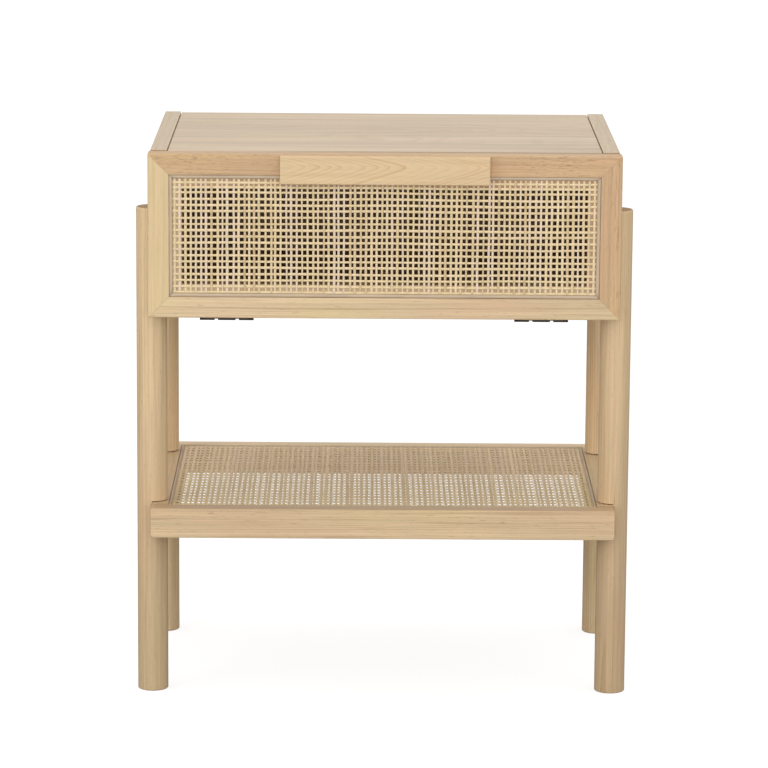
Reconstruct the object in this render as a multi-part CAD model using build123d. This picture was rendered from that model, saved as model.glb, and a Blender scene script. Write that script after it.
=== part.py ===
"""Bedside cabinet with a drop-down cane door, a cane shelf and four round legs.

Millimetres. +X to the right, +Y to the back, +Z up. The origin is on the floor,
under the middle of the whole cabinet, handle included.
"""
import os
from math import atan2, cos, degrees, hypot, radians, sin

from build123d import *

# ---------------------------------------------------------------- overall
FLOOR_TO_TOP = 560.0        # top edges of the side panels
BOX_BOTTOM = 394.0          # underside of the box
BOX_HALF_W = 234.5          # outer faces of the side panels
FRONT = -161.0              # front face of the door frame and of the shelf
BACK = 169.0                # back of the box and of the shelf
HANDLE_PROUD = 8.0          # handle in front of the door frame

# ---------------------------------------------------------------- box
SIDE_T = 16.5
PANEL_T = 16.0              # top and bottom panel
TOP_STEP = 1.0              # side panels stand proud of the top panel and of the door
TOP_LINE = 0.9              # open line beside each end of the top panel
TOP_LINE_D = 2.5
DOOR_T = 21.5
DOOR_GAP = 1.6
BACK_T = 5.0
REBATE_W = 8.0
REBATE_D = 5.5
ARRIS = 0.7

# ---------------------------------------------------------------- door
DOOR_HALF_W = 236.0
STILE_W = 21.0              # flat face of a stile, outside the spline groove
RAIL_W = 21.0               # flat face of a rail, outside the spline groove
GROOVE_W = 3.8
GROOVE_D = 5.0
SIGHT_HALF_W = 202.0        # opening behind the cane
SIGHT_Z = (428.0, 526.0)
LEDGE_DROP = 1.8            # ledge and lip below the frame's face
CANE_T = 1.2
MITRE_GAP = 0.16
HANDLE_HALF_L = 104.5
HANDLE_Z0 = 530.0
HANDLE_Z1 = 558.2

# ---------------------------------------------------------------- legs
LEG_R = 15.5
LEG_TOP = 500.0
LEG_INSET = 43.8            # leg axis behind the front, and ahead of the back
LEG_ROUND = 1.4

# ---------------------------------------------------------------- shelf
SHELF_Z0 = 168.0
SHELF_Z1 = 198.5
SHELF_FACE = 17.0           # flat face outside the spline groove
SHELF_GROOVE_W = 3.0
SHELF_LIP_W = 2.0
NOTCH_PLAY = 0.9            # open line above the shelf in each leg's notch

# ---------------------------------------------------------------- hinges
HINGE_X = 158.0
HINGE_L = 54.0
KNUCKLE_R = 3.0
KNUCKLES = ((-27.0, -12.2), (-8.8, 8.8), (12.2, 27.0))
PIN_R = 1.1
LEAF_T = 1.5
DOOR_LEAF_W = 18.0
BOX_LEAF_W = 22.0

# ---------------------------------------------------------------- flap stay
STAY_A = (35.0, 60.0)       # pivot on the side panel, from the hinge axis (Y, Z)
STAY_B = (8.0, 60.0)        # pivot on the door bracket, door closed
STAY_W = 12.0
RIVET_R = 2.5
RUN = 0.05                  # running clearance on a radius

# ---------------------------------------------------------------- derived
CLOSE = FRONT + DOOR_T                  # back face of the closed door
CARC_FRONT = CLOSE + DOOR_GAP           # front edges of the box
INNER = BOX_HALF_W - SIDE_T
TOP_Z1 = FLOOR_TO_TOP - TOP_STEP
TOP_Z0 = TOP_Z1 - PANEL_T
BOT_Z1 = BOX_BOTTOM + PANEL_T
HINGE_Y = CLOSE + DOOR_GAP / 2
HINGE_Z = BOX_BOTTOM - KNUCKLE_R - 0.05
LEG_YS = {"front": FRONT + LEG_INSET, "rear": BACK - LEG_INSET}
SIDES = {"left": -1, "right": 1}


def block(x0, x1, y0, y1, z0, z1):
    return Pos((x0 + x1) / 2, (y0 + y1) / 2, (z0 + z1) / 2) * Box(x1 - x0, y1 - y0, z1 - z0)


def board(x0, x1, y0, y1, z0, z1, r=ARRIS):
    """A planed board with every arris eased."""
    b = block(x0, x1, y0, y1, z0, z1)
    return fillet(b.edges(), r)


def rod(axis, a0, a1, u, v, r):
    """A round rod along an axis; u and v are the two other coordinates in XYZ order."""
    c = (a0 + a1) / 2
    cyl = Cylinder(r, abs(a1 - a0))
    if axis == "X":
        return Pos(c, u, v) * Rot(0, 90, 0) * cyl
    if axis == "Y":
        return Pos(u, c, v) * Rot(90, 0, 0) * cyl
    return Pos(u, v, c) * cyl


def turned(points):
    """A solid of revolution about Z from (radius, height) points."""
    line = Polyline(*[(p[0], 0, p[1]) for p in points], close=True)
    return revolve(make_face(line), Axis.Z)


def frame_at(pos, direction):
    """A location whose local -Z runs along direction."""
    d = Vector(*direction).normalized()
    return Plane(origin=pos, z_dir=-d).location


def csk_screw(pos, direction, length, head_r=3.2, shank_r=1.6, grow=0.0):
    """Countersunk cross-head screw: its head is flush at pos, and it runs along direction."""
    h = head_r - shank_r
    g = grow
    body = turned(
        [
            (0, g), (head_r + g, g), (head_r + g, -0.5),
            (shank_r + g, -0.5 - h), (shank_r + g, -length + 1.5 - g),
            (0, -length - g),
        ]
    )
    if not g:
        d = 1.3
        arm = head_r * 1.15
        cut = Pos(0, 0, -d / 2) * Box(arm, 0.75, d) + Pos(0, 0, -d / 2) * Box(0.75, arm, d)
        body = body - cut
    return frame_at(pos, direction) * body


def pan_screw(pos, direction, length, head_r=3.4, head_h=2.0, shank_r=1.6, grow=0.0):
    """Pan-head cross-head screw: the underside of its head is at pos."""
    g = grow
    body = turned(
        [
            (0, head_h), (head_r * 0.55 + g, head_h), (head_r + g, head_h * 0.45),
            (head_r + g, 0), (shank_r + g, 0), (shank_r + g, -length + 1.5 - g), (0, -length - g),
        ]
    )
    if not g:
        cut = Pos(0, 0, head_h) * Box(3.6, 0.8, 2.2) + Pos(0, 0, head_h) * Box(0.8, 3.6, 2.2)
        body = body - cut
    return frame_at(pos, direction) * body


def leg_bolt(pos, direction, length, head_r=6.5, head_h=2.2, shank_r=3.0, grow=0.0):
    """Furniture bolt with a flat round head and a hexagon socket."""
    g = grow
    body = turned(
        [
            (0, head_h), (head_r - 0.6 + g, head_h), (head_r + g, head_h - 0.6),
            (head_r + g, 0), (shank_r + g, 0), (shank_r + g, -length - g), (0, -length - g),
        ]
    )
    if not g:
        body = body - Pos(0, 0, head_h - 1.8) * extrude(RegularPolygon(2.3, 6), 1.9)
    return frame_at(pos, direction) * body


def group(items):
    return Compound(children=[s for it in items for s in it.solids()])


def cut(shape, tools):
    for t in tools:
        shape = shape - t
    return shape


# ================================================================ fasteners first
# each fastener is a solid, with a slightly larger copy that bores its hole

# -- leg bolts and their threaded inserts
box_bolts, box_bolt_bores = [], []
shelf_bolts, shelf_bolt_bores = [], []
inserts, insert_bores = [], []
SHELF_W = SHELF_FACE + SHELF_GROOVE_W + SHELF_LIP_W
for s in SIDES.values():
    for ly in LEG_YS.values():
        for bz in (424.0, 474.0):
            at, to = (s * INNER, ly, bz), (s, 0, 0)
            box_bolts.append(leg_bolt(at, to, SIDE_T + 11.0))
            box_bolt_bores.append(leg_bolt(at, to, SIDE_T + 11.0, grow=RUN))
            tube = rod("X", s * BOX_HALF_W, s * (BOX_HALF_W + 10.5), ly, bz, 4.5)
            insert_bores.append(rod("X", s * (BOX_HALF_W - 0.5), s * (BOX_HALF_W + 11.6), ly, bz, 4.5 + RUN))
            inserts.append(tube - rod("X", s * (BOX_HALF_W - 1), s * (BOX_HALF_W + 12), ly, bz, 3.0 + RUN))
        bz = (SHELF_Z0 + SHELF_Z1) / 2 - 1.5
        at, to = (s * (BOX_HALF_W - SHELF_W), ly, bz), (s, 0, 0)
        shelf_bolts.append(leg_bolt(at, to, SHELF_W + 11.0))
        shelf_bolt_bores.append(leg_bolt(at, to, SHELF_W + 11.0, grow=RUN))
        tube = rod("X", s * BOX_HALF_W, s * (BOX_HALF_W + 10.5), ly, bz, 4.5)
        insert_bores.append(rod("X", s * (BOX_HALF_W - 0.5), s * (BOX_HALF_W + 11.6), ly, bz, 4.5 + RUN))
        inserts.append(tube - rod("X", s * (BOX_HALF_W - 1), s * (BOX_HALF_W + 12), ly, bz, 3.0 + RUN))

# -- dowels that join the box
DOWEL_R = 4.0
box_dowels, box_dowel_bores = [], []
for s in SIDES.values():
    for z in (TOP_Z0 + PANEL_T / 2, BOX_BOTTOM + PANEL_T / 2):
        for y in (-95.0, 4.0, 103.0):
            box_dowels.append(rod("X", s * (INNER - 18.5), s * (INNER + 10.5), y, z, DOWEL_R))
            box_dowel_bores.append(rod("X", s * (INNER - 19.5), s * (INNER + 11.5), y, z, DOWEL_R + RUN))

# -- brads that hold the back
brads, brad_bores = [], []


def brad(x, z):
    y = BACK - REBATE_D + BACK_T
    head = rod("Y", y - 0.6, y, x, z, 1.4)
    shank = rod("Y", y - 18, y - 0.6, x, z, 0.8)
    bore = rod("Y", y - 0.6, y + 1, x, z, 1.4 + RUN) + rod("Y", y - 18.3, y, x, z, 0.8 + RUN)
    brads.append(head + shank)
    brad_bores.append(bore)


for x in (-180, -90, 0, 90, 180):
    brad(x, TOP_Z0 + 4)
    brad(x, BOT_Z1 - 4)
for s in SIDES.values():
    for z in (440, 476.5, 513):
        brad(s * (INNER + 4), z)

# ================================================================ box
side_panels = {}
for side, s in SIDES.items():
    x0, x1 = sorted((s * INNER, s * BOX_HALF_W))
    p = board(x0, x1, CARC_FRONT, BACK, BOX_BOTTOM, FLOOR_TO_TOP)
    r0, r1 = sorted((s * (INNER - 1), s * (INNER + REBATE_W)))
    p = p - block(r0, r1, BACK - REBATE_D, BACK + 1, BOT_Z1 - REBATE_W, TOP_Z0 + REBATE_W)
    side_panels[side] = p

top_panel = board(-INNER + TOP_LINE, INNER - TOP_LINE, CARC_FRONT, BACK, TOP_Z0, TOP_Z1, 0.6)
top_panel = top_panel + block(-INNER, INNER, CARC_FRONT + 0.6, BACK - 0.6, TOP_Z0, TOP_Z1 - TOP_LINE_D)
top_panel = top_panel - block(-INNER - 1, INNER + 1, BACK - REBATE_D, BACK + 1, TOP_Z0 - 1, TOP_Z0 + REBATE_W)
bottom_panel = board(-INNER, INNER, CARC_FRONT, BACK, BOX_BOTTOM, BOT_Z1, 0.6)
bottom_panel = bottom_panel - block(-INNER - 1, INNER + 1, BACK - REBATE_D, BACK + 1, BOT_Z1 - REBATE_W, BOT_Z1 + 1)
back_panel = block(
    -INNER - REBATE_W + 0.3, INNER + REBATE_W - 0.3,
    BACK - REBATE_D, BACK - REBATE_D + BACK_T,
    BOT_Z1 - REBATE_W + 0.3, TOP_Z0 + REBATE_W - 0.3,
)

# ================================================================ legs
legs = {}
for side, s in SIDES.items():
    for end, ly in LEG_YS.items():
        leg = Pos(s * BOX_HALF_W, ly, LEG_TOP / 2) * Cylinder(LEG_R, LEG_TOP)
        leg = fillet(leg.edges().filter_by(GeomType.CIRCLE), LEG_ROUND)
        n0, n1 = sorted((s * BOX_HALF_W, s * (BOX_HALF_W - LEG_R - 2)))
        leg = leg - block(n0, n1, ly - 20, ly + 20, BOX_BOTTOM, LEG_TOP + 5)
        leg = leg - block(n0, n1, ly - 20, ly + 20, SHELF_Z0, SHELF_Z1 + NOTCH_PLAY)
        legs[(end, side)] = leg

# ================================================================ shelf
SX, SY0, SY1 = BOX_HALF_W, FRONT, BACK


def shelf_stick(x0, x1, y0, y1, end_round):
    b = block(x0, x1, y0, y1, SHELF_Z0, SHELF_Z1)
    if end_round:
        ends = b.edges().filter_by(Axis.Y)
        b = fillet(ends, end_round)
        rest = b.edges().filter_by(Axis.X) + b.edges().filter_by(Axis.Z)
        outer = [e for e in b.edges() if abs(e.center().Y - y0) < 0.01 or abs(e.center().Y - y1) < 0.01]
        b = fillet(outer, 0.9)
        return b
    return fillet(b.edges().filter_by(Axis.Y), 0.9)


front_rail = shelf_stick(-SX, SX, SY0, SY0 + SHELF_W, 3.0)
back_rail = shelf_stick(-SX, SX, SY1 - SHELF_W, SY1, 3.0)
left_rail = shelf_stick(-SX, -SX + SHELF_W, SY0 + SHELF_W, SY1 - SHELF_W, 0)
right_rail = shelf_stick(SX - SHELF_W, SX, SY0 + SHELF_W, SY1 - SHELF_W, 0)

# groove for the spline and lip for the cane, run right round the frame
gx0, gy0, gy1 = SX - SHELF_FACE, SY0 + SHELF_FACE, SY1 - SHELF_FACE
hx0, hy0, hy1 = gx0 - SHELF_GROOVE_W, gy0 + SHELF_GROOVE_W, gy1 - SHELF_GROOVE_W
groove = block(-gx0, gx0, gy0, gy1, SHELF_Z1 - GROOVE_D, SHELF_Z1 + 1) - block(
    -hx0, hx0, hy0, hy1, SHELF_Z1 - GROOVE_D - 1, SHELF_Z1 + 2
)
lip = block(-hx0 - 0.5, hx0 + 0.5, hy0 - 0.5, hy1 + 0.5, SHELF_Z1 - LEDGE_DROP, SHELF_Z1 + 1)

# dowels in the shelf corners
shelf_dowels, shelf_dowel_bores = [], []
for s in SIDES.values():
    for ya, sg in ((SY0 + SHELF_W, 1), (SY1 - SHELF_W, -1)):
        for dx in (6.5, 14.5):
            x, z = s * (SX - dx), SHELF_Z0 + 12.0
            a, b = sorted((ya - sg * 14, ya + sg * 16))
            shelf_dowels.append(rod("Y", a, b, x, z, 3.0))
            shelf_dowel_bores.append(rod("Y", a - 0.8, b + 0.8, x, z, 3.0 + RUN))

shelf_rails = {}
for name, rail in (
    ("shelf_front_rail", front_rail), ("shelf_back_rail", back_rail),
    ("shelf_left_rail", left_rail), ("shelf_right_rail", right_rail),
):
    rail = rail - groove - lip
    rail = cut(rail, shelf_dowel_bores)
    if "left" in name or "right" in name:
        rail = cut(rail, shelf_bolt_bores)
    shelf_rails[name] = rail

shelf_cane = block(-hx0, hx0, hy0, hy1, SHELF_Z1 - LEDGE_DROP, SHELF_Z1 - LEDGE_DROP + CANE_T)


def spline(axis, a0, a1, u, v, w, depth, out):
    """A reed spline: a square-bottomed strip with a rounded face. out is +Z or -Y."""
    if axis == "X" and out == "Z":
        b = block(a0, a1, u - w / 2, u + w / 2, v - depth, v)
        edges = [e for e in b.edges().filter_by(Axis.X) if e.center().Z > v - 0.01]
    elif axis == "Y" and out == "Z":
        b = block(u - w / 2, u + w / 2, a0, a1, v - depth, v)
        edges = [e for e in b.edges().filter_by(Axis.Y) if e.center().Z > v - 0.01]
    elif axis == "X":
        b = block(a0, a1, v, v + depth, u - w / 2, u + w / 2)
        edges = [e for e in b.edges().filter_by(Axis.X) if e.center().Y < v + 0.01]
    else:
        b = block(u - w / 2, u + w / 2, v, v + depth, a0, a1)
        edges = [e for e in b.edges().filter_by(Axis.Z) if e.center().Y < v + 0.01]
    return fillet(edges, w * 0.32)


ssw = SHELF_GROOVE_W - 0.5
scx, scy0, scy1 = (gx0 + hx0) / 2, (gy0 + hy0) / 2, (gy1 + hy1) / 2
stz = SHELF_Z1 - 0.4
shelf_splines = [
    spline("X", -scx - ssw / 2, scx + ssw / 2, scy0, stz, ssw, GROOVE_D - 0.6, "Z"),
    spline("X", -scx - ssw / 2, scx + ssw / 2, scy1, stz, ssw, GROOVE_D - 0.6, "Z"),
    spline("Y", scy0 + ssw / 2 + 0.1, scy1 - ssw / 2 - 0.1, -scx, stz, ssw, GROOVE_D - 0.6, "Z"),
    spline("Y", scy0 + ssw / 2 + 0.1, scy1 - ssw / 2 - 0.1, scx, stz, ssw, GROOVE_D - 0.6, "Z"),
]

# ================================================================ door
DX, DZ0, DZ1 = DOOR_HALF_W, BOX_BOTTOM, FLOOR_TO_TOP - TOP_STEP
ix, iz0, iz1 = DX - STILE_W, DZ0 + RAIL_W, DZ1 - RAIL_W                  # groove outside
jx, jz0, jz1 = ix - GROOVE_W, iz0 + GROOVE_W, iz1 - GROOVE_W            # groove inside
kx, kz0, kz1 = SIGHT_HALF_W, *SIGHT_Z                                   # sight opening
door_ring = board(-DX, DX, FRONT, CLOSE, DZ0, DZ1, 1.0)
door_ring = door_ring - block(-kx, kx, FRONT - 1, CLOSE + 1, kz0, kz1)
door_ring = door_ring - (
    block(-ix, ix, FRONT - 1, FRONT + GROOVE_D, iz0, iz1)
    - block(-jx, jx, FRONT - 2, FRONT + GROOVE_D + 1, jz0, jz1)
)
door_ring = door_ring - block(-jx - 0.5, jx + 0.5, FRONT - 1, FRONT + LEDGE_DROP, jz0 - 0.5, jz1 + 0.5)


def wedge(points):
    f = make_face(Polyline(*[(p[0], 0, p[1]) for p in points], close=True))
    return extrude(f, 60, both=True).moved(Location((0, (FRONT + CLOSE) / 2, 0)))


mz = 68.0                                              # a point well down the mitre
mx = DX - mz
g = MITRE_GAP / 2
bottom_w = wedge([(-DX + g, DZ0), (DX - g, DZ0), (mx - g, DZ0 + mz), (-mx + g, DZ0 + mz)])
top_w = wedge([(-DX + g, DZ1), (DX - g, DZ1), (mx - g, DZ1 - mz), (-mx + g, DZ1 - mz)])
left_w = wedge([(-DX - 1, DZ0 + g - 1), (-mx - g, DZ0 + mz + g), (-mx - g, DZ1 - mz - g), (-DX - 1, DZ1 - g + 1)])
right_w = wedge([(DX + 1, DZ0 + g - 1), (mx + g, DZ0 + mz + g), (mx + g, DZ1 - mz - g), (DX + 1, DZ1 - g + 1)])
door_members = {
    "door_bottom_rail": door_ring & bottom_w,
    "door_top_rail": door_ring & top_w,
    "door_left_stile": door_ring & left_w,
    "door_right_stile": door_ring & right_w,
}

# dowels across the four mitres, square to each joint
mitre_dowels, mitre_bores = [], []
mitre_slope = degrees(atan2(RAIL_W, STILE_W))
for s in SIDES.values():
    for z, sz in ((DZ0, 1), (DZ1, -1)):
        cx, cz = s * (DX - 17.0), z + sz * 17.0 * RAIL_W / STILE_W
        ang = mitre_slope * s * sz + 90
        cy = FRONT + 13.5
        for lst, grow in ((mitre_dowels, 0.0), (mitre_bores, 0.6)):
            r = 2.5 + (RUN if grow else 0)
            d = Rot(0, 90, 0) * Cylinder(r, 15.0 + grow)
            lst.append(Pos(cx, cy, cz) * Rot(0, -ang, 0) * d)

door_cane = block(-jx, jx, FRONT + LEDGE_DROP - CANE_T, FRONT + LEDGE_DROP, jz0, jz1)
dsw = GROOVE_W - 0.9
dcx, dcz0, dcz1 = (ix + jx) / 2, (iz0 + jz0) / 2, (iz1 + jz1) / 2
dsy = FRONT + 0.4
door_splines = [
    spline("X", -dcx - dsw / 2, dcx + dsw / 2, dcz0, dsy, dsw, GROOVE_D - 0.6, "Y"),
    spline("X", -dcx - dsw / 2, dcx + dsw / 2, dcz1, dsy, dsw, GROOVE_D - 0.6, "Y"),
    spline("Z", dcz0 + dsw / 2 + 0.1, dcz1 - dsw / 2 - 0.1, -dcx, dsy, dsw, GROOVE_D - 0.6, "Y"),
    spline("Z", dcz0 + dsw / 2 + 0.1, dcz1 - dsw / 2 - 0.1, dcx, dsy, dsw, GROOVE_D - 0.6, "Y"),
]

# handle bar, screwed on from behind the top rail
handle = board(-HANDLE_HALF_L, HANDLE_HALF_L, FRONT - HANDLE_PROUD, FRONT, HANDLE_Z0, HANDLE_Z1, 1.1)
handle_screws, handle_bores = [], []
for x in (-72.0, 72.0):
    at, to = (x, CLOSE, 549.0), (0, -1, 0)
    handle_screws.append(csk_screw(at, to, 26.0, 3.6, 1.9))
    handle_bores.append(csk_screw(at, to, 26.0, 3.6, 1.9, grow=RUN))

# ================================================================ hinges
box_leaves, door_leaves, pins = {}, {}, {}
box_leaf_screws, box_leaf_bores, door_leaf_screws, door_leaf_bores = [], [], [], []
LZ0, LZ1 = BOX_BOTTOM - LEAF_T, BOX_BOTTOM
CLEAR = KNUCKLE_R + 0.35
for side, s in SIDES.items():
    c = s * HINGE_X
    pin_hole = rod("X", c - 40, c + 40, HINGE_Y, HINGE_Z, PIN_R + RUN)
    # leaf on the box: carries the two outer knuckles
    leaf = block(c - HINGE_L / 2, c + HINGE_L / 2, HINGE_Y + CLEAR, HINGE_Y + BOX_LEAF_W, LZ0, LZ1)
    corners = [e for e in leaf.edges().filter_by(Axis.Z) if e.center().Y > HINGE_Y + 10]
    leaf = fillet(corners, 3.0)
    for a, b in (KNUCKLES[0], KNUCKLES[2]):
        leaf = leaf + block(c + a, c + b, HINGE_Y, HINGE_Y + CLEAR + 0.2, LZ0, LZ1)
        leaf = leaf + rod("X", c + a, c + b, HINGE_Y, HINGE_Z, KNUCKLE_R)
    leaf = leaf - pin_hole
    holes = [(c + dx, HINGE_Y + 15.0) for dx in (-20.0, 20.0)] + [(c, HINGE_Y + 9.5)]
    for x, y in holes:
        box_leaf_screws.append(csk_screw((x, y, LZ0), (0, 0, 1), 13.0, 3.0, 1.5))
        bore = csk_screw((x, y, LZ0), (0, 0, 1), 13.0, 3.0, 1.5, grow=RUN)
        box_leaf_bores.append(bore)
        leaf = leaf - bore
    box_leaves[side] = leaf
    # leaf on the door: carries the middle knuckle
    leaf = block(c - 24.0, c + 24.0, HINGE_Y - DOOR_LEAF_W, HINGE_Y - CLEAR, LZ0, LZ1)
    corners = [e for e in leaf.edges().filter_by(Axis.Z) if e.center().Y < HINGE_Y - 10]
    leaf = fillet(corners, 3.0)
    a, b = KNUCKLES[1]
    leaf = leaf + block(c + a, c + b, HINGE_Y - CLEAR - 0.2, HINGE_Y, LZ0, LZ1)
    leaf = leaf + rod("X", c + a, c + b, HINGE_Y, HINGE_Z, KNUCKLE_R)
    leaf = leaf - pin_hole
    for dx in (-16.0, 16.0):
        at = (c + dx, HINGE_Y - 11.5, LZ0)
        door_leaf_screws.append(csk_screw(at, (0, 0, 1), 13.0, 3.0, 1.5))
        bore = csk_screw(at, (0, 0, 1), 13.0, 3.0, 1.5, grow=RUN)
        door_leaf_bores.append(bore)
        leaf = leaf - bore
    door_leaves[side] = leaf
    pin = rod("X", c - HINGE_L / 2, c + HINGE_L / 2, HINGE_Y, HINGE_Z, PIN_R)
    pins[side] = fillet(pin.edges().filter_by(GeomType.CIRCLE), 0.3)

# ================================================================ magnetic catch
catch_y = CLOSE + 2.0
catch_housing = board(-24, 24, catch_y, catch_y + 15, TOP_Z0 - 12, TOP_Z0, 0.8)
pocket = block(-13, 13, catch_y - 1, catch_y + 11, TOP_Z0 - 10, TOP_Z0 - 2)
catch_housing = catch_housing - pocket
pole_plates = [
    block(-12.9, 12.9, catch_y - 0.8, catch_y + 10.9, z0, z0 + 1.4)
    for z0 in (TOP_Z0 - 9.9, TOP_Z0 - 3.5)
]
catch_magnet = block(-12.9, 12.9, catch_y + 0.2, catch_y + 10.9, TOP_Z0 - 8.4, TOP_Z0 - 3.6)
catch_screws, catch_bores = [], []
for x in (-18.5, 18.5):
    at, to = (x, catch_y + 7.5, TOP_Z0 - 12.0), (0, 0, 1)
    catch_screws.append(csk_screw(at, to, 24.0, 2.8, 1.4))
    catch_bores.append(csk_screw(at, to, 24.0, 2.8, 1.4, grow=RUN))
catch_housing = cut(catch_housing, catch_bores)
strike = board(-14, 14, CLOSE, CLOSE + 1.2, TOP_Z0 - 13.0, TOP_Z0 - 0.8, 0.25)
strike_at = (0, CLOSE + 1.2, TOP_Z0 - 6.9)
strike_screw = csk_screw(strike_at, (0, -1, 0), 14.0, 2.5, 1.3)
strike_bore = csk_screw(strike_at, (0, -1, 0), 14.0, 2.5, 1.3, grow=RUN)
strike = strike - strike_bore

# ================================================================ flap stay
A = (HINGE_Y + STAY_A[0], HINGE_Z + STAY_A[1])
B = (HINGE_Y + STAY_B[0], HINGE_Z + STAY_B[1])
E = (A[0] + STAY_B[0], A[1] + STAY_B[1])
PLATE = (INNER - 2.0, INNER)
ARM = (PLATE[0] - 3.7, PLATE[0] - 1.7)
LINK = (ARM[0] - 2.3, ARM[0] - 0.3)
EAR = (LINK[0] - 2.3, LINK[0] - 0.3)


def bar(p, q, xs, w):
    """A flat bar with round ends between two pivots in a YZ plane."""
    length = hypot(q[0] - p[0], q[1] - p[1])
    ang = degrees(atan2(q[1] - p[1], q[0] - p[0]))
    t = xs[1] - xs[0]
    flat = Box(t, length, w) + Pos(0, -length / 2, 0) * Rot(0, 90, 0) * Cylinder(w / 2, t)
    flat = flat + Pos(0, length / 2, 0) * Rot(0, 90, 0) * Cylinder(w / 2, t)
    return Pos((xs[0] + xs[1]) / 2, (p[0] + q[0]) / 2, (p[1] + q[1]) / 2) * Rot(ang, 0, 0) * flat


stay_plate = board(PLATE[0], PLATE[1], A[0] - 9, A[0] + 34, A[1] - 9, A[1] + 9, 0.5)
stay_plate = stay_plate + rod("X", ARM[1] + 0.2, PLATE[0] + 0.5, A[0], A[1], 5.5)
stay_plate = stay_plate - rod("X", PLATE[0] - 5, PLATE[1] + 1, A[0], A[1], RIVET_R)
stay_screws, stay_screw_bores = [], []
for dy in (15.0, 28.0):
    at, to = (PLATE[0], A[0] + dy, A[1]), (1, 0, 0)
    stay_screws.append(csk_screw(at, to, 13.0, 2.8, 1.5))
    stay_screw_bores.append(csk_screw(at, to, 13.0, 2.8, 1.5, grow=RUN))
stay_plate = cut(stay_plate, stay_screw_bores)
stay_base_rivet = rod("X", ARM[0] - 0.1, PLATE[1], A[0], A[1], RIVET_R) + rod(
    "X", ARM[0] - 1.3, ARM[0] - 0.1, A[0], A[1], 4.2
)
stay_arm = bar(A, E, ARM, STAY_W)
stay_arm = stay_arm - rod("X", ARM[0] - 1, ARM[1] + 1, A[0], A[1], RIVET_R + RUN)
stay_arm = stay_arm - rod("X", ARM[0] - 1, ARM[1] + 1, E[0], E[1], RIVET_R)
stay_elbow_rivet = (
    rod("X", LINK[0] - 0.1, ARM[1], E[0], E[1], RIVET_R)
    + rod("X", LINK[0] - 1.3, LINK[0] - 0.1, E[0], E[1], 4.2)
    + rod("X", ARM[1], ARM[1] + 1.1, E[0], E[1], 4.2)
)
stay_link = bar(B, E, LINK, STAY_W)
for p in (B, E):
    stay_link = stay_link - rod("X", LINK[0] - 1, LINK[1] + 1, p[0], p[1], RIVET_R + RUN)
stay_bracket = board(EAR[0] - 4.4, INNER - 1.5, CLOSE, CLOSE + 1.5, B[1] - 18, B[1] + 18, 0.4)
ear = board(EAR[0], EAR[1], CLOSE, B[0] + 6.5, B[1] - 7, B[1] + 7, 0.4)
stay_bracket = stay_bracket + ear - rod("X", EAR[0] - 1, EAR[1] + 1, B[0], B[1], RIVET_R)
stay_bracket_screws, stay_bracket_bores = [], []
for dz in (-12.0, 12.0):
    at, to = (EAR[1] + 1.2, CLOSE + 1.5, B[1] + dz), (0, -1, 0)
    stay_bracket_screws.append(csk_screw(at, to, 14.0, 2.8, 1.5))
    stay_bracket_bores.append(csk_screw(at, to, 14.0, 2.8, 1.5, grow=RUN))
stay_bracket = cut(stay_bracket, stay_bracket_bores)
stay_bracket_rivet = (
    rod("X", EAR[0], LINK[1] + 0.1, B[0], B[1], RIVET_R)
    + rod("X", EAR[0] - 1.1, EAR[0], B[0], B[1], 4.2)
    + rod("X", LINK[1] + 0.1, LINK[1] + 1.2, B[0], B[1], 4.2)
)

# ================================================================ bore the woodwork
for side in SIDES:
    side_panels[side] = cut(side_panels[side], box_dowel_bores + box_bolt_bores + brad_bores + stay_screw_bores)
top_panel = cut(top_panel, box_dowel_bores + brad_bores + catch_bores)
bottom_panel = cut(bottom_panel, box_dowel_bores + brad_bores + box_leaf_bores)
back_panel = cut(back_panel, brad_bores)
for key in legs:
    legs[key] = cut(legs[key], insert_bores)
for name in door_members:
    tools = list(mitre_bores)
    if name == "door_top_rail":
        tools += handle_bores + [strike_bore]
    if name == "door_bottom_rail":
        tools += door_leaf_bores
    if name == "door_right_stile":
        tools += stay_bracket_bores
    door_members[name] = cut(door_members[name], tools)
handle = cut(handle, handle_bores)

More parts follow.
